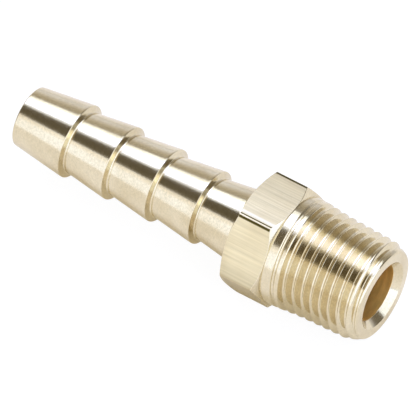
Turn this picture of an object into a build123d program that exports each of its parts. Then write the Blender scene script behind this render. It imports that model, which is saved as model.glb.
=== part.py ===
"""Brass hose barb tail with a male taper pipe thread, 1/4 in hose to 1/8 in pipe.

One turned piece. The flow axis lies along X with the thread end at +X, and the origin is the
centre of the thread end face. The piece lies on one flat of its hexagon, +Z up. Millimetres.
"""
import os
from math import atan, cos, degrees, radians, tan

from build123d import *

os.makedirs("parts", exist_ok=True)

# lengths along the flow axis, counted back from the thread end face
THREAD_LENGTH = 9.88         # end face to the foot of the hexagon chamfer
HEX_LENGTH = 4.38            # hexagon with both its chamfers
BARB_PITCH = 4.83            # crest to crest
BARB_COUNT = 4
FIRST_BARB = 5.5             # hose end to the first crest
NECK_LENGTH = 4.96           # last crest to the hexagon

# hose tail diameters, for 6.35 mm bore hose
CREST_DIA = 7.38
ROOT_DIA = 6.2
TIP_DIA = 6.0
NECK_DIA = 7.5               # where the neck meets the hexagon
SHOULDER_RUN = 0.23          # how far the barb shoulder leans along the axis
TIP_CHAMFER = 0.18           # broken edge of the hose end
CREST_LAND = 0.15            # narrow flat left on each barb crest

# hexagon, 7/16 in across flats
ACROSS_FLATS = 11.11
HEX_CHAMFER_ANGLE = 27.0     # from the end plane
FLAT_CLEARANCE = 0.05        # the chamfer circle on the hose side stays inside the flats by this

# taper pipe thread, 27 turns to the inch, taper 1 in 16 on diameter
THREAD_PITCH = 25.4 / 27
THREAD_DIA = 9.986           # major diameter at the end face
TAPER = 1 / 16
CREST_FLAT = 0.1             # width of the flat left on each crest, over a sharp root
FLANK_ANGLE = 30.0
FULL_TURNS = 10              # whole turns at full depth, from the start outside the end
RUN_OUT_TURNS = 1.4          # turns over which the groove fades out towards the hexagon
X_THREAD_START = 0.818       # sets where round the piece the thread begins
TURN_OVERLAP = 0.01          # keeps no fin between the two grooves
CLEAR = 0.05                 # how far the flanks of the cutter reach above the crests
OVERCUT = 0.45               # top of the cutter above the crests
BLANK_EXCESS = 1.5           # how far the blank runs past the start of the groove
LEAD_DIA = 8.9               # end of the lead-in cone at the end face, before its edge is broken
LEAD_ANGLE = 24.0            # of the lead-in cone to the axis
LEAD_CHAMFER = 0.16          # broken edge between the lead-in cone and the end face

# passage: a wide drill from the thread end, a narrow one through the hose tail
WIDE_BORE_DIA = 5.7
WIDE_BORE_DEPTH = 6.0        # full diameter, before the drill point
NARROW_BORE_DIA = 5.1
MOUTH_DIA = 6.9
MOUTH_ANGLE = 41.0           # of the countersink wall to the axis
DRILL_POINT_ANGLE = 59.0     # of the drill point wall to the axis

CUT_MARGIN = 1.0             # how far turning and boring cuts reach past the metal
ROOT_OVERLAP = 0.5           # how far the thread blank reaches into the hexagon

# derived values
X_HEX_FOOT = -THREAD_LENGTH
X_HEX_BACK = X_HEX_FOOT - HEX_LENGTH
X_LAST_CREST = X_HEX_BACK - NECK_LENGTH
X_FIRST_CREST = X_LAST_CREST - (BARB_COUNT - 1) * BARB_PITCH
X_TIP = X_FIRST_CREST - FIRST_BARB
HEX_CORNER_R = ACROSS_FLATS / 2 / cos(radians(30))
FOOT_R = (THREAD_DIA + TAPER * THREAD_LENGTH) / 2
FACE_R = ACROSS_FLATS / 2 - FLAT_CLEARANCE
TURNED_R = HEX_CORNER_R + CUT_MARGIN
LEAD_SLOPE = tan(radians(LEAD_ANGLE))
LEAD_RUN = (TURNED_R - LEAD_DIA / 2) / LEAD_SLOPE
X_BLANK = X_THREAD_START + BLANK_EXCESS
X_MOUTH = -(MOUTH_DIA - WIDE_BORE_DIA) / 2 / tan(radians(MOUTH_ANGLE))
X_DRILL_POINT = -WIDE_BORE_DEPTH - (WIDE_BORE_DIA - NARROW_BORE_DIA) / 2 / tan(radians(DRILL_POINT_ANGLE))
CONE_ANGLE = degrees(atan(TAPER / 2))
THREAD_DEPTH = (THREAD_PITCH - CREST_FLAT) / 2 / tan(radians(FLANK_ANGLE))
CHAMFER_SLOPE = tan(radians(HEX_CHAMFER_ANGLE))
START_R = (THREAD_DIA - TAPER * X_THREAD_START) / 2
X_RUN_OUT = X_THREAD_START - FULL_TURNS * THREAD_PITCH
RUN_OUT_R = (THREAD_DIA - TAPER * X_RUN_OUT) / 2
RUN_OUT_RISE = THREAD_DEPTH + CLEAR + RUN_OUT_TURNS * THREAD_PITCH * TAPER / 2
RUN_OUT_ANGLE = degrees(atan(RUN_OUT_RISE / (RUN_OUT_TURNS * THREAD_PITCH)))

# outline of the hose tail, from its end to the hexagon
crest_positions = [X_FIRST_CREST + barb * BARB_PITCH for barb in range(BARB_COUNT)]
profile = [(X_TIP, 0), (X_TIP, TIP_DIA / 2)]
for x_crest in crest_positions:
    profile += [
        (x_crest, CREST_DIA / 2),
        (x_crest + CREST_LAND, CREST_DIA / 2),
        (x_crest + CREST_LAND + SHOULDER_RUN, ROOT_DIA / 2),
    ]
profile += [(X_HEX_BACK, NECK_DIA / 2), (X_HEX_BACK, 0)]


def cut_groove(x_start, r_start, cone_angle, turns):
    """Cut the V groove along a right-hand helix that runs from x_start towards the hexagon."""
    rise = THREAD_PITCH / cos(radians(cone_angle))
    flank = tan(radians(FLANK_ANGLE))
    half_open = (THREAD_PITCH - CREST_FLAT) / 2
    with BuildLine() as path:
        Helix(
            rise,
            turns * THREAD_PITCH,
            r_start,
            center=(x_start, 0, 0),
            direction=(-1, 0, 0),
            cone_angle=cone_angle,
        )
    start = path.line @ 0
    outward = Vector(0, start.Y, start.Z).normalized()
    cross_plane = Plane(start, x_dir=outward, z_dir=outward.cross(Vector(1, 0, 0)))
    with BuildSketch(cross_plane) as groove:
        with BuildLine():
            Polyline(
                (-THREAD_DEPTH, 0),
                (CLEAR, -half_open - CLEAR * flank),
                (OVERCUT, -half_open - CLEAR * flank),
                (OVERCUT, half_open + CLEAR * flank),
                (CLEAR, half_open + CLEAR * flank),
                close=True,
            )
        make_face()
    sweep(groove.sketch, path=path.wires()[0], is_frenet=True, mode=Mode.SUBTRACT)


# hexagon with a flat down, turned conical at both ends
with BuildPart() as hexagon:
    with BuildSketch(Plane.YZ.offset(X_HEX_BACK)):
        RegularPolygon(ACROSS_FLATS / 2, 6, major_radius=False)
    extrude(amount=HEX_LENGTH)
    with BuildSketch(Plane.XZ):
        with BuildLine():
            Polyline(
                (X_HEX_BACK, 0),
                (X_HEX_BACK, FACE_R),
                (X_HEX_BACK + (TURNED_R - FACE_R) * CHAMFER_SLOPE, TURNED_R),
                (X_HEX_FOOT - (TURNED_R - FOOT_R) * CHAMFER_SLOPE, TURNED_R),
                (X_HEX_FOOT, FOOT_R),
                (X_HEX_FOOT, 0),
                close=True,
            )
        make_face()
    revolve(axis=Axis.X, mode=Mode.INTERSECT)


with BuildPart() as hose_barb_tail:
    # tapered thread blank, longer than the thread so that the groove runs off its end
    with BuildSketch(Plane.XZ):
        with BuildLine():
            Polyline(
                (X_HEX_FOOT - ROOT_OVERLAP, 0),
                (X_HEX_FOOT - ROOT_OVERLAP, FOOT_R),
                (X_HEX_FOOT, FOOT_R),
                (X_BLANK, (THREAD_DIA - TAPER * X_BLANK) / 2),
                (X_BLANK, 0),
                close=True,
            )
        make_face()
    revolve(axis=Axis.X)

    # thread groove at full depth, then fading out beside the hexagon
    cut_groove(X_THREAD_START, START_R, CONE_ANGLE, FULL_TURNS + TURN_OVERLAP)
    cut_groove(X_RUN_OUT, RUN_OUT_R, RUN_OUT_ANGLE, RUN_OUT_TURNS)

    # face the thread end and turn its lead-in cone, with the edge between them broken
    with BuildSketch(Plane.XZ) as lead_in:
        with BuildLine():
            Polyline(
                (-LEAD_RUN, TURNED_R),
                (0, LEAD_DIA / 2),
                (0, 0),
                (X_BLANK + CUT_MARGIN, 0),
                (X_BLANK + CUT_MARGIN, TURNED_R),
                close=True,
            )
        make_face()
        chamfer(lead_in.vertices().sort_by_distance((0, LEAD_DIA / 2))[0], LEAD_CHAMFER)
    revolve(axis=Axis.X, mode=Mode.SUBTRACT)

    # hose tail: a row of barbs and the neck
    with BuildSketch(Plane.XZ) as tail_outline:
        with BuildLine():
            Polyline(*profile, close=True)
        make_face()
        chamfer(tail_outline.vertices().sort_by_distance((X_TIP, TIP_DIA / 2))[0], TIP_CHAMFER)
    revolve(axis=Axis.X)

    add(hexagon.part)

    # passage: narrow through the tail, wide from the thread end, with a drill point and a mouth
    with BuildSketch(Plane.XZ):
        with BuildLine():
            Polyline(
                (X_TIP - CUT_MARGIN, 0),
                (X_TIP - CUT_MARGIN, NARROW_BORE_DIA / 2),
                (X_DRILL_POINT, NARROW_BORE_DIA / 2),
                (-WIDE_BORE_DEPTH, WIDE_BORE_DIA / 2),
                (X_MOUTH, WIDE_BORE_DIA / 2),
                (0, MOUTH_DIA / 2),
                (CUT_MARGIN, MOUTH_DIA / 2 + CUT_MARGIN * tan(radians(MOUTH_ANGLE))),
                (CUT_MARGIN, 0),
                close=True,
            )
        make_face()
    revolve(axis=Axis.X, mode=Mode.SUBTRACT)

hose_barb_tail.part.label = "hose_barb_tail"
export_step(hose_barb_tail.part, "parts/hose_barb_tail.step")
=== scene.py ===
"""Brass hose barb tail: a barbed tail, a hexagon and a male taper pipe thread in one turned piece.

Sizes are in millimetres and the meshes in metres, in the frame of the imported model: the flow
axis is X with the thread end face at x = 0, and the piece lies on one flat of its hexagon.
Its outline is walked once round: hose end, barbs, hexagon, thread, end face, and back through
the passage. Every part of it stands on the same stations round the axis, so that they weld.
"""
import math

import bmesh
import bpy
from mathutils import Matrix, Vector


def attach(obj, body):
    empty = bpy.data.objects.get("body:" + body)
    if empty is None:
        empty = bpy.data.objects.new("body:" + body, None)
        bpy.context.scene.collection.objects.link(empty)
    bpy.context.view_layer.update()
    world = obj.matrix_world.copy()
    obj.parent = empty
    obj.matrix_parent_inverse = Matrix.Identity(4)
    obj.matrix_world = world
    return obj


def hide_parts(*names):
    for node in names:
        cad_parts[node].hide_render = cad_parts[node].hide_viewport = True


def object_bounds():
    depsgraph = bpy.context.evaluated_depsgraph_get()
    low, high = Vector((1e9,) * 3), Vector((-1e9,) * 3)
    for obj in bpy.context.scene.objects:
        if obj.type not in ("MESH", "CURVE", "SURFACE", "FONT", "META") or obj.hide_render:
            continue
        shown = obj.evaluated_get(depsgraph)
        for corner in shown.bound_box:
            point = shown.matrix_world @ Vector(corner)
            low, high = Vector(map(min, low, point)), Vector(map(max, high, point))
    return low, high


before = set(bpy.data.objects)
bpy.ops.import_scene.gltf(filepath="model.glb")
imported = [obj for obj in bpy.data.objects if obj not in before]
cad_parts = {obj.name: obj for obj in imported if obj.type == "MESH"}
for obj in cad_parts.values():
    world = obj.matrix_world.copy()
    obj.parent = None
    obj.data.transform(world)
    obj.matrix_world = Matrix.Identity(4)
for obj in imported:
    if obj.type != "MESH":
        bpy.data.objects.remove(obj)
cad_low, cad_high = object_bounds()


# Hose end: the plain nose of the tail that the hose is pushed over. Turned from the brass bar,
# with a rounded outer edge and the narrow drill's hole in its face. It is one with the tail.
MM = 0.001
HEX_CORNERS = 6
HALF_SIDE = math.radians(30)
ACROSS_FLATS = 11.11
CORNER_ROUNDING = 0.36
FLAT_CROWN = 86.0
CORNER_STEPS = 4
SIDE_STEPS = 11
SIDE_GROWTH = 1.25
NOSE_LENGTH = 5.5
TIP_RADIUS = 3.0
TIP_ROUNDING = 0.25
NARROW_BORE = 2.55
BORE_EDGE = 0.05
BORE_EDGE_ROUNDING = 0.03
BARB_ROOT = 3.1
BARB_CREST = 3.69
BARB_PITCH = 4.83
BARB_LAND = 0.15
SHOULDER_RUN = 0.23
CREST_REACH = 0.75           # how far before its crest a barb's own outline starts
MOST_REACH = 0.42            # share of its shorter side that a rounding may take up
SUPPORT_SHARE = 0.6          # a support point stands off a rounding by this share of its reach
MOST_SUPPORT = 0.06          # and by no more than this share of the shorter side
DEGREES_A_STEP = 9
STEP_SLACK = 0.01            # lets a turn of whole steps count alike at every station
FEWEST_STEPS = 3

# the drawn bar's flats are a little crowned: arcs of a large circle, joined by small round corners
# whose circles touch it from inside
crown_back = FLAT_CROWN - ACROSS_FLATS / 2
crown_along = crown_back * math.cos(HALF_SIDE)
between_centres = FLAT_CROWN - CORNER_ROUNDING
corner_reach = math.sqrt(crown_along ** 2 - crown_back ** 2 + between_centres ** 2) - crown_along
corner_across = corner_reach * math.sin(HALF_SIDE)
corner_out = corner_reach * math.cos(HALF_SIDE)
corner_tilt = math.atan2(corner_across, corner_out + crown_back)
corner_end = HALF_SIDE - math.atan2(
    FLAT_CROWN * math.sin(corner_tilt),
    FLAT_CROWN * math.cos(corner_tilt) - crown_back,
)
from_corner = [corner_end * step / CORNER_STEPS for step in range(CORNER_STEPS + 1)]
side_share = [(step / SIDE_STEPS) ** SIDE_GROWTH for step in range(1, SIDE_STEPS + 1)]
from_corner += [corner_end + (HALF_SIDE - corner_end) * share for share in side_share]

# angles of the stations round the axis, close together at the hexagon's corners
stations = []
for corner in range(HEX_CORNERS):
    middle = 2 * HALF_SIDE * corner
    stations += [middle + angle for angle in from_corner]
    stations += [middle + 2 * HALF_SIDE - angle for angle in reversed(from_corner[1:-1])]


def rounded_outline(corners):
    """Points of an outline of (x, radius, rounding) corners, with support points by each rounding."""
    points = [Vector(corners[0][:2])]
    for before, here, after in zip(corners, corners[1:], corners[2:]):
        place = Vector(here[:2])
        back = Vector(before[:2]) - place
        ahead = Vector(after[:2]) - place
        shorter = min(back.length, ahead.length)
        turn = math.pi - back.angle(ahead)
        reach = min(here[2] * math.tan(turn / 2), MOST_REACH * shorter)
        support = min(SUPPORT_SHARE * reach, MOST_SUPPORT * shorter)
        back.normalize()
        ahead.normalize()
        points.append(place + back * (reach + support))
        middle = (back + ahead).normalized()
        radius = reach / math.tan(turn / 2)
        centre = place + middle * (radius / math.cos(turn / 2))
        steps = max(FEWEST_STEPS, math.ceil(math.degrees(turn) / DEGREES_A_STEP - STEP_SLACK))
        first = place + back * reach - centre
        side = 1 if first.x * ahead.y - first.y * ahead.x > 0 else -1
        for step in range(steps + 1):
            bend = side * turn * step / steps
            cosine = math.cos(bend)
            sine = math.sin(bend)
            spoke = Vector((first.x * cosine - first.y * sine, first.x * sine + first.y * cosine))
            points.append(centre + spoke)
        points.append(place + ahead * (reach + support))
    points.append(Vector(corners[-1][:2]))
    return points


def turned_skin(rows, finished_rows=(), finish=0):
    """A mesh over rows of (x, radius), each a number or a list with one value for every station.

    The faces that start at the finished rows get the finish of that number.
    """
    skin = bmesh.new()
    rings = []
    for xs, radii in rows:
        if not isinstance(xs, list):
            xs = [xs] * len(stations)
        if not isinstance(radii, list):
            radii = [radii] * len(stations)
        ring = []
        for angle, x, radius in zip(stations, xs, radii):
            y = radius * math.cos(angle)
            z = radius * math.sin(angle)
            ring.append(skin.verts.new((x * MM, y * MM, z * MM)))
        rings.append(ring)
    for number, (ring, following) in enumerate(zip(rings, rings[1:])):
        for column in range(len(stations)):
            beside = (column + 1) % len(stations)
            face = skin.faces.new((ring[column], ring[beside], following[beside], following[column]))
            face.smooth = True
            face.material_index = finish if number in finished_rows else 0
    mesh = bpy.data.meshes.new("turned_skin")
    skin.to_mesh(mesh)
    skin.free()
    return mesh


# the nose is a cone that runs on into the first barb's own cone, a little before its crest
x_tip = cad_low.x / MM
x_first_crest = x_tip + NOSE_LENGTH
cone_slope = (BARB_CREST - BARB_ROOT) / (BARB_PITCH - BARB_LAND - SHOULDER_RUN)
hose_end_outline = rounded_outline([
    (x_tip + BORE_EDGE, NARROW_BORE, 0),
    (x_tip, NARROW_BORE + BORE_EDGE, BORE_EDGE_ROUNDING),
    (x_tip, TIP_RADIUS, TIP_ROUNDING),
    (x_first_crest - CREST_REACH, BARB_CREST - CREST_REACH * cone_slope, 0),
])
hose_end_mesh = turned_skin([(point.x, point.y) for point in hose_end_outline])

# its finish, and that of all that is turned: bright free-cutting brass off the lathe, with fine
# rings left by the tool all round it and a faint uneven tone where it has been touched
BRASS_LIGHT = (0.745, 0.655, 0.455, 1)
BRASS_DEEP = (0.66, 0.56, 0.36, 1)
PATCH_SCALE = 260.0
PATCH_DETAIL = 4
PATCH_FROM = 0.35
PATCH_TO = 0.68
LINE_DETAIL = 3
LINE_LOW = 0.3
LINE_HIGH = 0.7


def join_value(tree, value, socket):
    """Put a number or colour on a socket, or link another node's output to it."""
    if isinstance(value, bpy.types.NodeSocket):
        tree.links.new(value, socket)
    else:
        socket.default_value = value


def calculate(tree, operation, *values):
    """A Math node with these values, and its result."""
    node = tree.nodes.new("ShaderNodeMath")
    node.operation = operation
    for value, socket in zip(values, node.inputs):
        join_value(tree, value, socket)
    return node.outputs[0]


# uneven tone of bare brass, as large soft patches and small specks
brass_tone = bpy.data.node_groups.new("brass_tone", "ShaderNodeTree")
brass_tone.interface.new_socket("Place", in_out="INPUT", socket_type="NodeSocketVector")
brass_tone.interface.new_socket("Light", in_out="INPUT", socket_type="NodeSocketColor")
brass_tone.interface.new_socket("Deep", in_out="INPUT", socket_type="NodeSocketColor")
brass_tone.interface.new_socket("Patch Scale", in_out="INPUT", socket_type="NodeSocketFloat")
brass_tone.interface.new_socket("Roughness", in_out="INPUT", socket_type="NodeSocketFloat")
brass_tone.interface.new_socket("Roughness Spread", in_out="INPUT", socket_type="NodeSocketFloat")
brass_tone.interface.new_socket("Tone", in_out="OUTPUT", socket_type="NodeSocketColor")
brass_tone.interface.new_socket("Roughness", in_out="OUTPUT", socket_type="NodeSocketFloat")
tone_in = brass_tone.nodes.new("NodeGroupInput")
tone_out = brass_tone.nodes.new("NodeGroupOutput")
patches = brass_tone.nodes.new("ShaderNodeTexNoise")
patches.inputs["Detail"].default_value = PATCH_DETAIL
brass_tone.links.new(tone_in.outputs["Place"], patches.inputs["Vector"])
brass_tone.links.new(tone_in.outputs["Patch Scale"], patches.inputs["Scale"])
tone_mix = brass_tone.nodes.new("ShaderNodeMix")
tone_mix.data_type = "RGBA"
tone_spread = brass_tone.nodes.new("ShaderNodeMapRange")
tone_spread.inputs["From Min"].default_value = PATCH_FROM
tone_spread.inputs["From Max"].default_value = PATCH_TO
brass_tone.links.new(patches.outputs["Fac"], tone_spread.inputs["Value"])
brass_tone.links.new(tone_spread.outputs["Result"], tone_mix.inputs["Factor"])
brass_tone.links.new(tone_in.outputs["Light"], tone_mix.inputs["A"])
brass_tone.links.new(tone_in.outputs["Deep"], tone_mix.inputs["B"])
brass_tone.links.new(tone_mix.outputs["Result"], tone_out.inputs["Tone"])
spread = calculate(brass_tone, "MULTIPLY", tone_spread.outputs["Result"], tone_in.outputs["Roughness Spread"])
total = calculate(brass_tone, "ADD", spread, tone_in.outputs["Roughness"])
brass_tone.links.new(total, tone_out.inputs["Roughness"])

# fine lines of a tool or a die, long one way and close together the other way
tool_lines = bpy.data.node_groups.new("tool_lines", "ShaderNodeTree")
tool_lines.interface.new_socket("Place", in_out="INPUT", socket_type="NodeSocketVector")
tool_lines.interface.new_socket("Along X", in_out="INPUT", socket_type="NodeSocketFloat")
tool_lines.interface.new_socket("Across X", in_out="INPUT", socket_type="NodeSocketFloat")
tool_lines.interface.new_socket("Height", in_out="OUTPUT", socket_type="NodeSocketFloat")
lines_in = tool_lines.nodes.new("NodeGroupInput")
lines_out = tool_lines.nodes.new("NodeGroupOutput")
stretch = tool_lines.nodes.new("ShaderNodeCombineXYZ")
tool_lines.links.new(lines_in.outputs["Along X"], stretch.inputs["X"])
tool_lines.links.new(lines_in.outputs["Across X"], stretch.inputs["Y"])
tool_lines.links.new(lines_in.outputs["Across X"], stretch.inputs["Z"])
stretched = tool_lines.nodes.new("ShaderNodeVectorMath")
stretched.operation = "MULTIPLY"
tool_lines.links.new(lines_in.outputs["Place"], stretched.inputs[0])
tool_lines.links.new(stretch.outputs["Vector"], stretched.inputs[1])
line_noise = tool_lines.nodes.new("ShaderNodeTexNoise")
line_noise.inputs["Scale"].default_value = 1
line_noise.inputs["Detail"].default_value = LINE_DETAIL
tool_lines.links.new(stretched.outputs["Vector"], line_noise.inputs["Vector"])
tool_lines.links.new(line_noise.outputs["Fac"], lines_out.inputs["Height"])


def brass(name, roughness, spread, along, across, relief, grain, streak, light=BRASS_LIGHT, deep=BRASS_DEEP):
    """A bare brass finish with its tone and its tool lines, which also streak the tone.

    The lines change `along` times a metre down the axis and `across` times round it, and stand
    `relief` metres high. `grain` is the anisotropy that they give, `streak` their share of tone.
    """
    material = bpy.data.materials.new(name)
    material.use_nodes = True
    tree = material.node_tree
    shader = tree.nodes["Principled BSDF"]
    shader.inputs["Metallic"].default_value = 1
    shader.inputs["Anisotropic"].default_value = grain
    place = tree.nodes.new("ShaderNodeTexCoord").outputs["Object"]
    tone = tree.nodes.new("ShaderNodeGroup")
    tone.node_tree = brass_tone
    for socket, value in (
        ("Place", place),
        ("Light", light),
        ("Deep", deep),
        ("Patch Scale", PATCH_SCALE),
        ("Roughness", roughness),
        ("Roughness Spread", spread),
    ):
        join_value(tree, value, tone.inputs[socket])
    tree.links.new(tone.outputs["Roughness"], shader.inputs["Roughness"])
    lines = tree.nodes.new("ShaderNodeGroup")
    lines.node_tree = tool_lines
    join_value(tree, place, lines.inputs["Place"])
    lines.inputs["Along X"].default_value = along
    lines.inputs["Across X"].default_value = across
    shade = tree.nodes.new("ShaderNodeMapRange")
    shade.inputs["From Min"].default_value = LINE_LOW
    shade.inputs["From Max"].default_value = LINE_HIGH
    shade.inputs["To Min"].default_value = 1 - streak
    shade.inputs["To Max"].default_value = 1 + streak
    tree.links.new(lines.outputs["Height"], shade.inputs["Value"])
    streaked = tree.nodes.new("ShaderNodeVectorMath")
    streaked.operation = "SCALE"
    tree.links.new(tone.outputs["Tone"], streaked.inputs["Vector"])
    tree.links.new(shade.outputs["Result"], streaked.inputs["Scale"])
    tree.links.new(streaked.outputs["Vector"], shader.inputs["Base Color"])
    bump = tree.nodes.new("ShaderNodeBump")
    bump.inputs["Strength"].default_value = 1
    bump.inputs["Distance"].default_value = relief
    tree.links.new(lines.outputs["Height"], bump.inputs["Height"])
    tree.links.new(bump.outputs["Normal"], shader.inputs["Normal"])
    return material


turned_brass = brass(
    "turned_brass",
    roughness=0.13,
    spread=0.05,
    along=5200.0,
    across=4600.0,
    relief=0.000003,
    grain=0.4,
    streak=0.075,
)
round_axis = turned_brass.node_tree.nodes.new("ShaderNodeTangent")
round_axis.direction_type = "RADIAL"
round_axis.axis = "X"
turned_brass.node_tree.links.new(
    round_axis.outputs["Tangent"],
    turned_brass.node_tree.nodes["Principled BSDF"].inputs["Tangent"],
)


# Hose barbs: four rings with a gentle cone towards the hose end and a steep shoulder behind, so
# that the hose slides on and grips. Turned with one form tool, so all four are alike.
BARB_COUNT = 4
BARB_CREST_ROUNDING = 0.6
BARB_LAND_ROUNDING = 0.06
BARB_ROOT_ROUNDING = 0.14
ROOT_REACH = 0.9
WELD = 0.000001

# one barb from its crest: a gentle cone, a narrow land, a leaning shoulder and the next root
x_barb_root = BARB_LAND + SHOULDER_RUN
barb_outline = rounded_outline([
    (-CREST_REACH, BARB_CREST - CREST_REACH * cone_slope, 0),
    (0, BARB_CREST, BARB_CREST_ROUNDING),
    (BARB_LAND, BARB_CREST, BARB_LAND_ROUNDING),
    (x_barb_root, BARB_ROOT, BARB_ROOT_ROUNDING),
    (x_barb_root + ROOT_REACH, BARB_ROOT + ROOT_REACH * cone_slope, 0),
])


def outline_object(name, points):
    """An object of bare points and edges, for a tree to read."""
    mesh = bpy.data.meshes.new(name)
    mesh.from_pydata(points, [(number, number + 1) for number in range(len(points) - 1)], [])
    item = bpy.data.objects.new(name, mesh)
    bpy.context.scene.collection.objects.link(item)
    return item


# the stations as a mesh, with the first once more at the end and each one's share of a turn
full_ring = stations + [2 * math.pi]
ring_object = outline_object("stations", [(0, math.cos(angle), math.sin(angle)) for angle in full_ring])
ring_turn = ring_object.data.attributes.new("turn", "FLOAT", "POINT")
ring_turn.data.foreach_set("value", [angle / (2 * math.pi) for angle in full_ring])


def nodes_tree(name, sockets):
    """An empty geometry tree with these inputs, its input node, its output node and identifiers."""
    tree = bpy.data.node_groups.new(name, "GeometryNodeTree")
    tree.interface.new_socket("Geometry", in_out="INPUT", socket_type="NodeSocketGeometry")
    tree.interface.new_socket("Geometry", in_out="OUTPUT", socket_type="NodeSocketGeometry")
    identifiers = {}
    for label, kind in sockets:
        made = tree.interface.new_socket(label, in_out="INPUT", socket_type=kind)
        identifiers[label] = made.identifier
    return tree, tree.nodes.new("NodeGroupInput"), tree.nodes.new("NodeGroupOutput"), identifiers


def link_node(tree, kind, settings=(), **inputs):
    """A node of this kind with its settings and inputs, where an underscore stands for a space."""
    node = tree.nodes.new(kind)
    for setting, value in settings:
        setattr(node, setting, value)
    for label, value in inputs.items():
        join_value(tree, value, node.inputs[label.replace("_", " ")])
    return node


def grid_on_stations(tree, rows, ring):
    """A grid of rows by stations, the row of each point and its station's share of a turn."""
    columns = link_node(tree, "GeometryNodeAttributeDomainSize", Geometry=ring).outputs["Point Count"]
    grid = link_node(tree, "GeometryNodeMeshGrid", Vertices_X=rows, Vertices_Y=columns)
    index = tree.nodes.new("GeometryNodeInputIndex").outputs[0]
    row = calculate(tree, "FLOOR", calculate(tree, "DIVIDE", calculate(tree, "ADD", index, 0.5), columns))
    column = calculate(tree, "SUBTRACT", index, calculate(tree, "MULTIPLY", row, columns))
    named = link_node(tree, "GeometryNodeInputNamedAttribute", Name="turn").outputs["Attribute"]
    turn = link_node(tree, "GeometryNodeSampleIndex", Geometry=ring, Value=named, Index=column)
    return grid.outputs["Mesh"], row, turn.outputs["Value"]


def lay_round_axis(tree, mesh, x, radius, turn, finish):
    """The grid's points moved to (x, radius, turn), given in millimetres, welded and finished."""
    angle = calculate(tree, "MULTIPLY", turn, 2 * math.pi)
    y = calculate(tree, "MULTIPLY", radius, calculate(tree, "COSINE", angle))
    z = calculate(tree, "MULTIPLY", radius, calculate(tree, "SINE", angle))
    place = link_node(tree, "ShaderNodeCombineXYZ", X=x, Y=y, Z=z).outputs["Vector"]
    scaled = link_node(tree, "ShaderNodeVectorMath", [("operation", "SCALE")], Scale=MM)
    tree.links.new(place, scaled.inputs["Vector"])
    moved = link_node(tree, "GeometryNodeSetPosition", Geometry=mesh, Position=scaled.outputs["Vector"])
    welded = link_node(tree, "GeometryNodeMergeByDistance", Geometry=moved.outputs[0], Distance=WELD)
    smooth = link_node(tree, "GeometryNodeSetShadeSmooth", Geometry=welded.outputs[0])
    real = link_node(tree, "GeometryNodeRealizeInstances", Geometry=smooth.outputs[0])
    dressed = link_node(tree, "GeometryNodeSetMaterial", Geometry=real.outputs[0], Material=finish)
    return dressed.outputs["Geometry"]


def made_mesh(item, tree, values):
    """The plain mesh that a tree makes on an object, with its inputs set by their identifiers."""
    modifier = item.modifiers.new(tree.name, "NODES")
    modifier.node_group = tree
    for identifier, value in values:
        modifier[identifier] = value
    bpy.context.view_layer.update()
    evaluated = item.evaluated_get(bpy.context.evaluated_depsgraph_get())
    mesh = bpy.data.meshes.new_from_object(evaluated)
    item.modifiers.remove(modifier)
    mesh.polygons.foreach_set("material_index", [0] * len(mesh.polygons))
    return mesh


barb_tree, barb_in, barb_out, barb_sockets = nodes_tree("barbs_in_a_row", [
    ("Stations", "NodeSocketObject"),
    ("First Crest", "NodeSocketFloat"),
    ("Pitch", "NodeSocketFloat"),
    ("Barbs", "NodeSocketInt"),
    ("Finish", "NodeSocketMaterial"),
])
first_crest = link_node(barb_tree, "ShaderNodeCombineXYZ", X=barb_in.outputs["First Crest"])
next_crest = link_node(barb_tree, "ShaderNodeCombineXYZ", X=barb_in.outputs["Pitch"])
crests = link_node(
    barb_tree,
    "GeometryNodeMeshLine",
    Count=barb_in.outputs["Barbs"],
    Start_Location=first_crest.outputs["Vector"],
    Offset=next_crest.outputs["Vector"],
)
barbs = link_node(
    barb_tree,
    "GeometryNodeInstanceOnPoints",
    Points=crests.outputs["Mesh"],
    Instance=barb_in.outputs["Geometry"],
)
barb_row = link_node(barb_tree, "GeometryNodeRealizeInstances", Geometry=barbs.outputs["Instances"])
barb_points = link_node(barb_tree, "GeometryNodeAttributeDomainSize", Geometry=barb_row.outputs["Geometry"])
barb_ring = link_node(barb_tree, "GeometryNodeObjectInfo", Object=barb_in.outputs["Stations"])
barb_grid, barb_line, barb_turn = grid_on_stations(
    barb_tree,
    barb_points.outputs["Point Count"],
    barb_ring.outputs["Geometry"],
)
barb_place = link_node(
    barb_tree,
    "GeometryNodeSampleIndex",
    [("data_type", "FLOAT_VECTOR")],
    Geometry=barb_row.outputs["Geometry"],
    Value=barb_tree.nodes.new("GeometryNodeInputPosition").outputs[0],
    Index=barb_line,
)
barb_split = link_node(barb_tree, "ShaderNodeSeparateXYZ", Vector=barb_place.outputs["Value"])
barb_tree.links.new(
    lay_round_axis(
        barb_tree,
        barb_grid,
        barb_split.outputs["X"],
        barb_split.outputs["Y"],
        barb_turn,
        barb_in.outputs["Finish"],
    ),
    barb_out.inputs["Geometry"],
)
barb_object = outline_object("barb_outline", [(point.x, point.y, 0) for point in barb_outline])
barbs_mesh = made_mesh(barb_object, barb_tree, [
    (barb_sockets["Stations"], ring_object),
    (barb_sockets["First Crest"], x_first_crest),
    (barb_sockets["Pitch"], BARB_PITCH),
    (barb_sockets["Barbs"], BARB_COUNT),
    (barb_sockets["Finish"], turned_brass),
])


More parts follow.
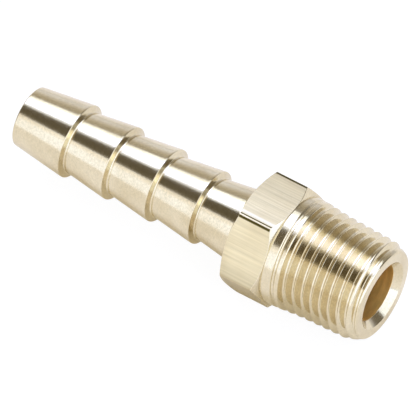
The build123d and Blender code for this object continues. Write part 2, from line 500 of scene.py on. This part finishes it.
# Hexagon and neck: the drawn bar's own flats, left between two turned chamfers, for a spanner.
# The flats keep the die's fine lines along the bar, and the corners its small rounding.
NECK_LENGTH = 4.96
HEX_LENGTH = 4.38
NECK_RADIUS = 3.75
HEX_FACE = 5.505
FOOT_RADIUS = 5.302
CHAMFER_SLOPE = math.tan(math.radians(27))
NECK_FILLET = 0.08
HEX_EDGE_ROUNDING = 0.05
FOOT_ROUNDING = 0.04
THREAD_RADIUS = 4.993
TAPER_SLOPE = 1 / 32
CREST_RISE = 0.12
STRIP_START = 0.1
CHAMFER_CROWN = 0.08
CHAMFER_DROP = 0.06
CHAMFER_STEPS = 12
HUMP_SCALE = 27 / 4

x_last_crest = x_first_crest + (BARB_COUNT - 1) * BARB_PITCH
x_neck_start = x_last_crest + barb_outline[-1].x
x_hex_back = x_last_crest + NECK_LENGTH
x_hex_foot = x_hex_back + HEX_LENGTH
# the foot stands on the raised crests, and a short strip of their cone leads on to the thread
x_foot = x_hex_foot - CREST_RISE * CHAMFER_SLOPE
foot_radius = THREAD_RADIUS - x_foot * TAPER_SLOPE + CREST_RISE
x_strip = x_foot + STRIP_START
strip_radius = THREAD_RADIUS - x_strip * TAPER_SLOPE + CREST_RISE
hexagon_columns = []
for angle in stations:
    aside = abs((angle + HALF_SIDE) % (2 * HALF_SIDE) - HALF_SIDE)
    if aside < corner_end:
        inside = CORNER_ROUNDING ** 2 - (corner_reach * math.sin(aside)) ** 2
        side_radius = corner_reach * math.cos(aside) + math.sqrt(inside)
    else:
        off_flat = HALF_SIDE - aside
        inside = FLAT_CROWN ** 2 - (crown_back * math.sin(off_flat)) ** 2
        side_radius = math.sqrt(inside) - crown_back * math.cos(off_flat)
    hexagon_columns.append(rounded_outline([
        (x_neck_start, barb_outline[-1].y, 0),
        (x_hex_back, NECK_RADIUS, NECK_FILLET),
        (x_hex_back, HEX_FACE, HEX_EDGE_ROUNDING),
        (x_hex_back + (side_radius - HEX_FACE) * CHAMFER_SLOPE, side_radius, HEX_EDGE_ROUNDING),
        (x_hex_foot - (side_radius - FOOT_RADIUS) * CHAMFER_SLOPE, side_radius, HEX_EDGE_ROUNDING),
        (x_foot, foot_radius, FOOT_ROUNDING),
        (x_strip, strip_radius, 0),
    ]))

# past the neck, the longest run along the axis is the flat, and the deepest drop the chamfer
longest = hexagon_columns[0]
runs = [ahead.x - point.x for point, ahead in zip(longest, longest[1:])]
flat_row = max(range(1, len(runs)), key=lambda number: runs[number])
drops = [point.y - ahead.y for point, ahead in zip(longest, longest[1:])]
chamfer_row = max(range(flat_row, len(drops)), key=lambda number: drops[number])
# the chamfer on the thread side is steepest at its foot and crowned above it, a third of the way
# up, where share * (1 - share) ** 2 has its peak of 4 / 27
corner_radius = max(point.y for point in longest)
for column in hexagon_columns:
    outer = column[chamfer_row]
    inner = column[chamfer_row + 1]
    between = [outer.lerp(inner, step / CHAMFER_STEPS) for step in range(1, CHAMFER_STEPS)]
    column[chamfer_row + 1:chamfer_row + 1] = between
    for point in column[flat_row + 1:]:
        share = min(max((point.y - foot_radius) / (corner_radius - foot_radius), 0), 1)
        hump = HUMP_SCALE * share * (1 - share) ** 2
        point.x += CHAMFER_CROWN * hump - CHAMFER_DROP * share
hexagon_rows = []
for level in zip(*hexagon_columns):
    hexagon_rows.append(([point.x for point in level], [point.y for point in level]))
# the flats and the support rows on each side of them keep the bar's finish
hexagon_mesh = turned_skin(hexagon_rows, range(flat_row - 1, flat_row + 2), 1)

CORNER_RADIUS = 6.36
PAINTED_SHADE_FROM = 2.2              # height from which the painted shade darkens the tone, and where it is darkest
PAINTED_SHADE_TO = 0.0
PAINTED_SHADE_TONE = 0.8
PAINTED_LINES_FROM = 1.0               # height at which the painted corner reflections begin to show, and show in full
PAINTED_LINES_FULL = 3.0
PAINTED_DARK_REFLECTION = (0.085, 0.064, 0.014, 1)
PAINTED_HIGHLIGHT = (0.76, 0.69, 0.5, 1)
# middle of each painted line beside the corner (two painted dark reflections and a painted highlight), its
# half width, half width of its core, and its tone
PAINTED_CORNER_LINES = (
    (0.1, 0.16, 0.07, PAINTED_DARK_REFLECTION),
    (-0.24, 0.09, 0.03, PAINTED_DARK_REFLECTION),
    (-0.54, 0.26, 0.02, PAINTED_HIGHLIGHT),
)

# the drawn bar's brass, which below also gets a painted shade towards the side corners and painted
# reflections beside the upper corners
bar_brass_and_painted_shade = brass(
    "bar_brass_and_painted_shade",
    roughness=0.4,
    spread=0.06,
    along=130.0,
    across=5200.0,
    relief=0.000012,
    grain=0.5,
    streak=0.1,
    light=(0.7, 0.59, 0.355, 1),
    deep=(0.65, 0.535, 0.31, 1),
)
bar_tangent = bar_brass_and_painted_shade.node_tree.nodes.new("ShaderNodeCombineXYZ")
bar_tangent.inputs["X"].default_value = 1
bar_brass_and_painted_shade.node_tree.links.new(
    bar_tangent.outputs["Vector"],
    bar_brass_and_painted_shade.node_tree.nodes["Principled BSDF"].inputs["Tangent"],
)

# where a point of the bar stands: its height, and how far round it is from the nearest corner
bar_tree = bar_brass_and_painted_shade.node_tree
bar_shader = bar_tree.nodes["Principled BSDF"]
bar_place = bar_tree.nodes.new("ShaderNodeSeparateXYZ")
bar_tree.links.new(bar_tree.nodes.new("ShaderNodeTexCoord").outputs["Object"], bar_place.inputs[0])
bar_angle = calculate(bar_tree, "ARCTAN2", bar_place.outputs["Z"], bar_place.outputs["Y"])
corner_angle = calculate(bar_tree, "WRAP", bar_angle, HALF_SIDE, -HALF_SIDE)
from_corner_line = calculate(bar_tree, "MULTIPLY", corner_angle, CORNER_RADIUS)

# painted shade: the tone darkens from the upper flats down to the side corners, standing in for the shaded
# floor that the flats mirror beneath the piece
painted_shade_share = bar_tree.nodes.new("ShaderNodeMapRange")
painted_shade_share.inputs["From Min"].default_value = PAINTED_SHADE_FROM * MM
painted_shade_share.inputs["From Max"].default_value = PAINTED_SHADE_TO * MM
painted_shade_share.inputs["To Min"].default_value = 1
painted_shade_share.inputs["To Max"].default_value = PAINTED_SHADE_TONE
bar_tree.links.new(bar_place.outputs["Z"], painted_shade_share.inputs["Value"])
shaded_colour = bar_tree.nodes.new("ShaderNodeVectorMath")
shaded_colour.operation = "SCALE"
bar_tree.links.new(bar_shader.inputs["Base Color"].links[0].from_socket, shaded_colour.inputs["Vector"])
bar_tree.links.new(painted_shade_share.outputs["Result"], shaded_colour.inputs["Scale"])
bar_tree.links.new(shaded_colour.outputs["Vector"], bar_shader.inputs["Base Color"])

# painted dark reflections and a painted highlight beside the upper corners, standing in for what their
# rounding mirrors
upper = bar_tree.nodes.new("ShaderNodeMapRange")
upper.inputs["From Min"].default_value = PAINTED_LINES_FROM * MM
upper.inputs["From Max"].default_value = PAINTED_LINES_FULL * MM
bar_tree.links.new(bar_place.outputs["Z"], upper.inputs["Value"])
for middle, width, core, painted_line_tone in PAINTED_CORNER_LINES:
    painted_line_share = bar_tree.nodes.new("ShaderNodeMapRange")
    painted_line_share.interpolation_type = "SMOOTHSTEP"
    painted_line_share.inputs["From Min"].default_value = width
    painted_line_share.inputs["From Max"].default_value = core
    off_line = calculate(bar_tree, "SUBTRACT", from_corner_line, middle)
    bar_tree.links.new(calculate(bar_tree, "ABSOLUTE", off_line), painted_line_share.inputs["Value"])
    painted_line = bar_tree.nodes.new("ShaderNodeMix")
    painted_line.data_type = "RGBA"
    bar_tree.links.new(bar_shader.inputs["Base Color"].links[0].from_socket, painted_line.inputs["A"])
    painted_line.inputs["B"].default_value = painted_line_tone
    shown = calculate(bar_tree, "MULTIPLY", painted_line_share.outputs["Result"], upper.outputs["Result"])
    bar_tree.links.new(shown, painted_line.inputs["Factor"])
    bar_tree.links.new(painted_line.outputs["Result"], bar_shader.inputs["Base Color"])


# Taper pipe thread: a right-hand groove cut by a die on a cone, 27 turns to the inch. The last
# turns beside the hexagon fade out where the die stops, and a lead-in cone starts the joint.
THREAD_PITCH = 25.4 / 27
X_CREST = -4.1203            # where a crest crosses the first station
TURNS_BEFORE = 8             # between that crest and the first row of the grid
TURNS_IN_ALL = 13
ROWS_IN_A_TURN = 24
CREST_CROWDING = 0.62        # 0 spaces the rows evenly, 1 would bring them together
FLANK_SLOPE = 1 / math.tan(math.radians(30))
CREST_ROUNDING = 0.014
ROOT_DEPTH = 0.67
ROOT_ROUNDING = 0.05
RISE_FROM = -6.0             # where the crests begin to rise by CREST_RISE, and have risen
RISE_TO = -9.0
RUN_OUT_FROM = -7.6          # where the groove begins to fade out, and is gone
RUN_OUT_TO = -9.66
RUN_OUT_LIFT = 0.71          # more than the groove's depth, so that none of it reaches the foot
LEAD_RADIUS = 4.45
LEAD_ANGLE = math.radians(24)
LEAD_BLEND = 0.05
FACE_ROUNDING = 0.3
FACE_ROOM = 0.328            # length of the grid that bends over the edge of the end face

x_round = -FACE_ROUNDING * (1 - math.sin(LEAD_ANGLE))
round_centre = LEAD_RADIUS - FACE_ROUNDING * (1 / math.cos(LEAD_ANGLE) - math.tan(LEAD_ANGLE))
thread_tree, thread_in, thread_out, thread_sockets = nodes_tree("taper_pipe_thread", [
    ("Pitch", "NodeSocketFloat"),
    ("First Row", "NodeSocketFloat"),
    ("Turns", "NodeSocketInt"),
    ("Rows In A Turn", "NodeSocketInt"),
    ("Foot", "NodeSocketFloat"),
    ("Small End Radius", "NodeSocketFloat"),
    ("Taper Slope", "NodeSocketFloat"),
    ("Flank Slope", "NodeSocketFloat"),
    ("Crest Rounding", "NodeSocketFloat"),
    ("Root Depth", "NodeSocketFloat"),
    ("Root Rounding", "NodeSocketFloat"),
    ("Crest Rise", "NodeSocketFloat"),
    ("Rise From", "NodeSocketFloat"),
    ("Rise To", "NodeSocketFloat"),
    ("Run-out From", "NodeSocketFloat"),
    ("Run-out To", "NodeSocketFloat"),
    ("Run-out Lift", "NodeSocketFloat"),
    ("Lead Angle", "NodeSocketFloat"),
    ("Lead Blend", "NodeSocketFloat"),
    ("Face Rounding", "NodeSocketFloat"),
    ("Rounding Start", "NodeSocketFloat"),
    ("Rounding Centre", "NodeSocketFloat"),
    ("Rounding Room", "NodeSocketFloat"),
    ("Finish", "NodeSocketMaterial"),
])
size = thread_in.outputs
row_count = calculate(thread_tree, "MULTIPLY_ADD", size["Turns"], size["Rows In A Turn"], 1)
thread_grid, thread_row, thread_turn = grid_on_stations(thread_tree, row_count, size["Geometry"])
# rows follow the helix and stand closer together on the crests and in the roots
phase = calculate(thread_tree, "DIVIDE", thread_row, size["Rows In A Turn"])
swing = calculate(thread_tree, "SINE", calculate(thread_tree, "MULTIPLY", phase, 4 * math.pi))
crowded = calculate(thread_tree, "MULTIPLY_ADD", swing, -CREST_CROWDING / (4 * math.pi), phase)
helix_turn = calculate(thread_tree, "ADD", crowded, thread_turn)
helix_x = calculate(thread_tree, "MULTIPLY_ADD", helix_turn, size["Pitch"], size["First Row"])
face_x = calculate(thread_tree, "ADD", size["Rounding Start"], size["Rounding Room"])
row_x = link_node(
    thread_tree,
    "ShaderNodeClamp",
    Value=helix_x,
    Min=size["Foot"],
    Max=face_x,
).outputs["Result"]
# past the lead-in cone the rows bend over the rounded edge of the end face
edge_bend = link_node(
    thread_tree,
    "ShaderNodeMapRange",
    Value=row_x,
    From_Min=size["Rounding Start"],
    From_Max=face_x,
    To_Min=size["Lead Angle"],
    To_Max=math.pi / 2,
).outputs["Result"]
cone_x = calculate(thread_tree, "MINIMUM", row_x, size["Rounding Start"])
lead_sine = calculate(thread_tree, "SINE", size["Lead Angle"])
bend_sine = calculate(thread_tree, "SINE", edge_bend)
past_cone = calculate(thread_tree, "SUBTRACT", bend_sine, lead_sine)
thread_x = calculate(thread_tree, "MULTIPLY_ADD", past_cone, size["Face Rounding"], cone_x)
bend_cosine = calculate(thread_tree, "COSINE", edge_bend)
bend_out = calculate(thread_tree, "MULTIPLY", bend_cosine, size["Face Rounding"])
bend_radius = calculate(thread_tree, "ADD", bend_out, size["Rounding Centre"])
lead_run = calculate(thread_tree, "SUBTRACT", size["Rounding Start"], cone_x)
lead_slope = calculate(thread_tree, "TANGENT", size["Lead Angle"])
lead_radius = calculate(thread_tree, "MULTIPLY_ADD", lead_run, lead_slope, bend_radius)
# the cone of the crests, a little larger on the last turns beside the hexagon
taper = calculate(thread_tree, "MULTIPLY", thread_x, size["Taper Slope"])
crest_cone = calculate(thread_tree, "SUBTRACT", size["Small End Radius"], taper)
rise_share = link_node(
    thread_tree,
    "ShaderNodeMapRange",
    [("interpolation_type", "SMOOTHSTEP")],
    Value=thread_x,
    From_Min=size["Rise From"],
    From_Max=size["Rise To"],
    To_Min=0.0,
    To_Max=1.0,
).outputs["Result"]
crest_radius = calculate(thread_tree, "MULTIPLY_ADD", rise_share, size["Crest Rise"], crest_cone)
# the groove: straight flanks between a rounded crest and a rounded root
from_first = calculate(thread_tree, "SUBTRACT", thread_x, size["First Row"])
pitches = calculate(thread_tree, "DIVIDE", from_first, size["Pitch"])
own_turn = calculate(thread_tree, "SUBTRACT", pitches, thread_turn)
crest_share = calculate(thread_tree, "PINGPONG", own_turn, 0.5)
from_crest = calculate(thread_tree, "MULTIPLY", crest_share, size["Pitch"])
flank = calculate(thread_tree, "MULTIPLY", from_crest, size["Flank Slope"])
rooted = calculate(thread_tree, "SMOOTH_MIN", flank, size["Root Depth"], size["Root Rounding"])
# towards the hexagon the die lifts out of the metal, and the groove fades out
lift = link_node(
    thread_tree,
    "ShaderNodeMapRange",
    Value=thread_x,
    From_Min=size["Run-out From"],
    From_Max=size["Run-out To"],
    To_Min=0.0,
    To_Max=size["Run-out Lift"],
).outputs["Result"]
lifted = calculate(thread_tree, "SUBTRACT", rooted, lift)
groove = calculate(thread_tree, "SMOOTH_MAX", lifted, 0.0, size["Crest Rounding"])
cut_radius = calculate(thread_tree, "SUBTRACT", crest_radius, groove)
thread_radius = calculate(thread_tree, "SMOOTH_MIN", cut_radius, lead_radius, size["Lead Blend"])
thread_tree.links.new(
    lay_round_axis(thread_tree, thread_grid, thread_x, thread_radius, thread_turn, size["Finish"]),
    thread_out.inputs["Geometry"],
)
thread_mesh = made_mesh(ring_object, thread_tree, [
    (thread_sockets["Pitch"], THREAD_PITCH),
    (thread_sockets["First Row"], X_CREST - TURNS_BEFORE * THREAD_PITCH),
    (thread_sockets["Turns"], TURNS_IN_ALL),
    (thread_sockets["Rows In A Turn"], ROWS_IN_A_TURN),
    (thread_sockets["Foot"], x_strip),
    (thread_sockets["Small End Radius"], THREAD_RADIUS),
    (thread_sockets["Taper Slope"], TAPER_SLOPE),
    (thread_sockets["Flank Slope"], FLANK_SLOPE),
    (thread_sockets["Crest Rounding"], CREST_ROUNDING),
    (thread_sockets["Root Depth"], ROOT_DEPTH),
    (thread_sockets["Root Rounding"], ROOT_ROUNDING),
    (thread_sockets["Crest Rise"], CREST_RISE),
    (thread_sockets["Rise From"], RISE_FROM),
    (thread_sockets["Rise To"], RISE_TO),
    (thread_sockets["Run-out From"], RUN_OUT_FROM),
    (thread_sockets["Run-out To"], RUN_OUT_TO),
    (thread_sockets["Run-out Lift"], RUN_OUT_LIFT),
    (thread_sockets["Lead Angle"], LEAD_ANGLE),
    (thread_sockets["Lead Blend"], LEAD_BLEND),
    (thread_sockets["Face Rounding"], FACE_ROUNDING),
    (thread_sockets["Rounding Start"], x_round),
    (thread_sockets["Rounding Centre"], round_centre),
    (thread_sockets["Rounding Room"], FACE_ROOM),
    (thread_sockets["Finish"], turned_brass),
])


# End face and passage: the faced end with its countersunk mouth, then a wide drill that stops at
# its point inside the thread and a narrow drill on through the tail.
MOUTH_RADIUS = 3.45
MOUTH_SLOPE = math.tan(math.radians(41))
WIDE_BORE = 2.85
X_WIDE_END = -6.0
DRILL_POINT_SLOPE = math.tan(math.radians(59))
MOUTH_EDGE_ROUNDING = 0.06
MOUTH_FOOT_ROUNDING = 0.1
DRILL_ROUNDING = 0.05
BORED_ROOM = 0.01            # above the wide bore's radius, where its finish ends

passage_outline = rounded_outline([
    (0, round_centre, 0),
    (0, MOUTH_RADIUS, MOUTH_EDGE_ROUNDING),
    (-(MOUTH_RADIUS - WIDE_BORE) / MOUTH_SLOPE, WIDE_BORE, MOUTH_FOOT_ROUNDING),
    (X_WIDE_END, WIDE_BORE, DRILL_ROUNDING),
    (X_WIDE_END - (WIDE_BORE - NARROW_BORE) / DRILL_POINT_SLOPE, NARROW_BORE, DRILL_ROUNDING),
    (x_tip + BORE_EDGE, NARROW_BORE, 0),
])
# the rows inside the two bores keep the drills' dull finish, and the mouth is turned
bored_radius = WIDE_BORE + BORED_ROOM
bored_rows = [number for number, point in enumerate(passage_outline) if point.y < bored_radius]
passage_mesh = turned_skin([(point.x, point.y) for point in passage_outline], bored_rows, 2)

drilled_brass = brass(
    "drilled_brass",
    roughness=0.55,
    spread=0.08,
    along=3500.0,
    across=600.0,
    relief=0.00002,
    grain=0.0,
    streak=0.12,
    light=(0.84, 0.56, 0.18, 1),
    deep=(0.6, 0.4, 0.12, 1),
)


# The whole piece: hose end, barbs, hexagon, thread and passage are one metal, so their meshes are
# welded into one closed skin that stands for the solid.
whole = bmesh.new()
for part_mesh in (hose_end_mesh, barbs_mesh, hexagon_mesh, thread_mesh, passage_mesh):
    whole.from_mesh(part_mesh)
bmesh.ops.remove_doubles(whole, verts=whole.verts, dist=2 * WELD)
bmesh.ops.recalc_face_normals(whole, faces=whole.faces)
tail_mesh = bpy.data.meshes.new("brass_tail")
whole.to_mesh(tail_mesh)
whole.free()
tail_mesh.materials.append(turned_brass)
tail_mesh.materials.append(bar_brass_and_painted_shade)
tail_mesh.materials.append(drilled_brass)
brass_tail = bpy.data.objects.new("brass_tail", tail_mesh)
bpy.context.scene.collection.objects.link(brass_tail)
for helper in (ring_object, barb_object):
    bpy.data.objects.remove(helper)
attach(brass_tail, "root")
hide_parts("hose_barb_tail")


# Studio floor: a plain white sheet under the piece. The camera sees it evenly lit, and the brass
# mirrors it as lit by the lamps, with the piece's own soft shade on it.
FLOOR_SIZE = 4.0
PAPER_ROUGHNESS = 0.9
SEEN_WHITE = (0.12, 0.12, 0.12, 1)
SEEN_GLOW = (0.92, 0.92, 0.92, 1)
LIT_WHITE = (0.84, 0.79, 0.67, 1)
LIT_GLOW = (0.08, 0.06, 0.01, 1)
half = FLOOR_SIZE / 2
floor_corners = [(x, y, cad_low.z) for x, y in ((-half, -half), (half, -half), (half, half), (-half, half))]
floor_mesh = bpy.data.meshes.new("floor")
floor_mesh.from_pydata(floor_corners, [], [(0, 1, 2, 3)])
floor = bpy.data.objects.new("floor", floor_mesh)
bpy.context.scene.collection.objects.link(floor)
floor_paper = bpy.data.materials.new("floor_paper")
floor_paper.use_nodes = True
paper_tree = floor_paper.node_tree
lit_paper = paper_tree.nodes["Principled BSDF"]
seen_paper = paper_tree.nodes.new("ShaderNodeBsdfPrincipled")
for paper, white, glow in ((lit_paper, LIT_WHITE, LIT_GLOW), (seen_paper, SEEN_WHITE, SEEN_GLOW)):
    paper.inputs["Base Color"].default_value = white
    paper.inputs["Roughness"].default_value = PAPER_ROUGHNESS
    paper.inputs["Specular IOR Level"].default_value = 0.0
    paper.inputs["Emission Color"].default_value = glow
    paper.inputs["Emission Strength"].default_value = 1
paper_mix = paper_tree.nodes.new("ShaderNodeMixShader")
paper_seen = paper_tree.nodes.new("ShaderNodeLightPath").outputs["Is Camera Ray"]
paper_tree.links.new(paper_seen, paper_mix.inputs[0])
paper_tree.links.new(lit_paper.outputs[0], paper_mix.inputs[1])
paper_tree.links.new(seen_paper.outputs[0], paper_mix.inputs[2])
paper_tree.links.new(paper_mix.outputs[0], paper_tree.nodes["Material Output"].inputs["Surface"])
floor_mesh.materials.append(floor_paper)


# Studio lights: long softboxes over and in front of the piece, a tall one at its thread end, a
# white sweep behind it and a dark room. The lights are cooler than the floor.
LIGHT_DISTANCE = 0.5
LONG_RANGE = (-0.65, 0.4)
FILL_RANGE = (0.08, 0.6)
FILL_EDGE_RANGE = (-0.12, 0.08)
# name, degrees from the front (-Y) over the top where it starts and ends, range along X, radiance
SOFTBOXES = (
    ("over_low", 83.5, 90, LONG_RANGE, (1.0, 1.1, 1.35)),
    ("over_middle", 90, 117, LONG_RANGE, (2.1, 2.5, 4.3)),
    ("over_high", 117, 128.5, LONG_RANGE, (1.25, 1.4, 1.75)),
    ("front_high", 32, 45.5, LONG_RANGE, (1.2, 1.25, 1.45)),
    ("front_low", -0.7, 32, LONG_RANGE, (1.27, 1.4, 1.8)),
    ("fill", 45.5, 83.5, FILL_RANGE, (1.3, 1.4, 1.7)),
    ("fill_edge", 45.5, 83.5, FILL_EDGE_RANGE, (0.85, 0.8, 0.75)),
)
END_LAMP_PLACE = Vector((0.5, -0.18, 0.23))
END_LAMP_SIZE = (0.84, 0.45)
END_LAMP_RADIANCE = (1.45, 1.7, 2.35)
ALONG_X = Vector((1, 0, 0))
ALONG_Y = Vector((0, 1, 0))


def lamp(name, place, along, away, length, width, radiance):
    """Add a rectangular light of this radiance that faces against `away`, with its length `along`."""
    strongest = max(radiance)
    light = bpy.data.lights.new(name, "AREA")
    light.shape = "RECTANGLE"
    light.size = length
    light.size_y = width
    light.energy = strongest * math.pi * length * width
    light.color = [channel / strongest for channel in radiance]
    item = bpy.data.objects.new(name, light)
    bpy.context.scene.collection.objects.link(item)
    turned = Matrix((along, away.cross(along), away)).transposed()
    item.matrix_world = Matrix.Translation(place) @ turned.to_4x4()
    item.visible_camera = False


for softbox, low, high, (x_from, x_to), radiance in SOFTBOXES:
    middle = math.radians((low + high) / 2)
    away = Vector((0, -math.cos(middle), math.sin(middle)))
    place = away * LIGHT_DISTANCE
    place.x = (x_from + x_to) / 2
    width = 2 * LIGHT_DISTANCE * math.tan(math.radians((high - low) / 2))
    lamp(softbox, place, ALONG_X, away, x_to - x_from, width, radiance)
lamp("thread_end", END_LAMP_PLACE, ALONG_Y, ALONG_X, *END_LAMP_SIZE, END_LAMP_RADIANCE)

# the room: a white sweep that fades upwards behind the piece, dark on the other sides
ROOM_TONE = (0.125, 0.105, 0.068, 1)
SEEN_ROOM = (0.95, 0.95, 0.95, 1)
BEHIND_FROM = -0.1
BEHIND_TO = 0.2
SWEEP = (
    (0.0, (0.95, 0.99, 1.18, 1)),
    (0.17, (0.94, 0.97, 1.14, 1)),
    (0.34, (0.76, 0.74, 0.76, 1)),
    (0.5, (0.54, 0.5, 0.43, 1)),
    (0.64, (0.43, 0.4, 0.36, 1)),
    (0.77, (0.26, 0.23, 0.18, 1)),
    (0.87, (0.15, 0.13, 0.1, 1)),
)
SWEEP_ACROSS = (
    (0.25, (1, 1, 1, 1)),
    (0.34, (0.84, 0.84, 0.84, 1)),
    (0.45, (0.72, 0.72, 0.72, 1)),
    (0.71, (0.72, 0.72, 0.72, 1)),
    (0.77, (0.14, 0.14, 0.14, 1)),
)


def fill_ramp(node, stops):
    """Set the stops of a colour ramp."""
    ramp = node.color_ramp.elements
    ramp.remove(ramp[1])
    ramp[0].position, ramp[0].color = stops[0]
    for position, colour in stops[1:]:
        ramp.new(position).color = colour


world = bpy.data.worlds.new("dark_room")
bpy.context.scene.world = world
world.use_nodes = True
room = world.node_tree
direction = room.nodes.new("ShaderNodeSeparateXYZ")
room.links.new(room.nodes.new("ShaderNodeTexCoord").outputs["Generated"], direction.inputs[0])
sweep = room.nodes.new("ShaderNodeValToRGB")
fill_ramp(sweep, SWEEP)
room.links.new(direction.outputs["Z"], sweep.inputs["Fac"])
behind = room.nodes.new("ShaderNodeMapRange")
behind.inputs["From Min"].default_value = BEHIND_FROM
behind.inputs["From Max"].default_value = BEHIND_TO
room.links.new(direction.outputs["Y"], behind.inputs["Value"])
across = room.nodes.new("ShaderNodeMapRange")
across.inputs["From Min"].default_value = -1
room.links.new(direction.outputs["X"], across.inputs["Value"])
beside = room.nodes.new("ShaderNodeValToRGB")
fill_ramp(beside, SWEEP_ACROSS)
room.links.new(across.outputs["Result"], beside.inputs["Fac"])
sweep_share = calculate(room, "MULTIPLY", behind.outputs["Result"], beside.outputs["Color"])
room_tone = room.nodes.new("ShaderNodeMix")
room_tone.data_type = "RGBA"
room_tone.inputs["A"].default_value = ROOM_TONE
room.links.new(sweep.outputs["Color"], room_tone.inputs["B"])
room.links.new(sweep_share, room_tone.inputs["Factor"])
room_light = room.nodes["Background"]
room.links.new(room_tone.outputs["Result"], room_light.inputs["Color"])
seen_light = room.nodes.new("ShaderNodeBackground")
seen_light.inputs["Color"].default_value = SEEN_ROOM
room_seen = room.nodes.new("ShaderNodeLightPath").outputs["Is Camera Ray"]
room_mix = room.nodes.new("ShaderNodeMixShader")
room.links.new(room_seen, room_mix.inputs[0])
room.links.new(room_light.outputs[0], room_mix.inputs[1])
room.links.new(seen_light.outputs[0], room_mix.inputs[2])
room.links.new(room_mix.outputs[0], room.nodes["World Output"].inputs["Surface"])


# Camera: a long lens, far enough away to keep the piece's lines nearly parallel. It looks down on
# the piece from the front of its thread end, at the photograph's angle, with a slight roll.
AZIMUTH = math.radians(32.33)
ELEVATION = math.radians(48.87)
ROLL = math.radians(1.51)
DISTANCE = 1.2
LENS = 1124.2
SENSOR = 36.0
LOOK_AT = Vector((-0.01931, 0, 0))
SLIP_RIGHT = -0.0000315      # fine centring of the piece in the frame
SLIP_UP = -0.000062
CLIP_START = 0.1
CLIP_END = 20

towards = Vector((
    math.sin(AZIMUTH) * math.cos(ELEVATION),
    -math.cos(AZIMUTH) * math.cos(ELEVATION),
    math.sin(ELEVATION),
))
level_right = Vector((math.cos(AZIMUTH), math.sin(AZIMUTH), 0))
level_up = towards.cross(level_right)
right = level_right * math.cos(ROLL) + level_up * math.sin(ROLL)
up = level_up * math.cos(ROLL) - level_right * math.sin(ROLL)
camera_data = bpy.data.cameras.new("camera")
camera_data.lens = LENS
camera_data.sensor_width = SENSOR
camera_data.clip_start = CLIP_START
camera_data.clip_end = CLIP_END
camera = bpy.data.objects.new("camera", camera_data)
bpy.context.scene.collection.objects.link(camera)
camera_place = LOOK_AT + towards * DISTANCE + right * SLIP_RIGHT + up * SLIP_UP
camera_turn = Matrix((right, up, towards)).transposed().to_4x4()
camera.matrix_world = Matrix.Translation(camera_place) @ camera_turn
bpy.context.scene.camera = camera
bpy.context.scene.view_settings.view_transform = "Standard"
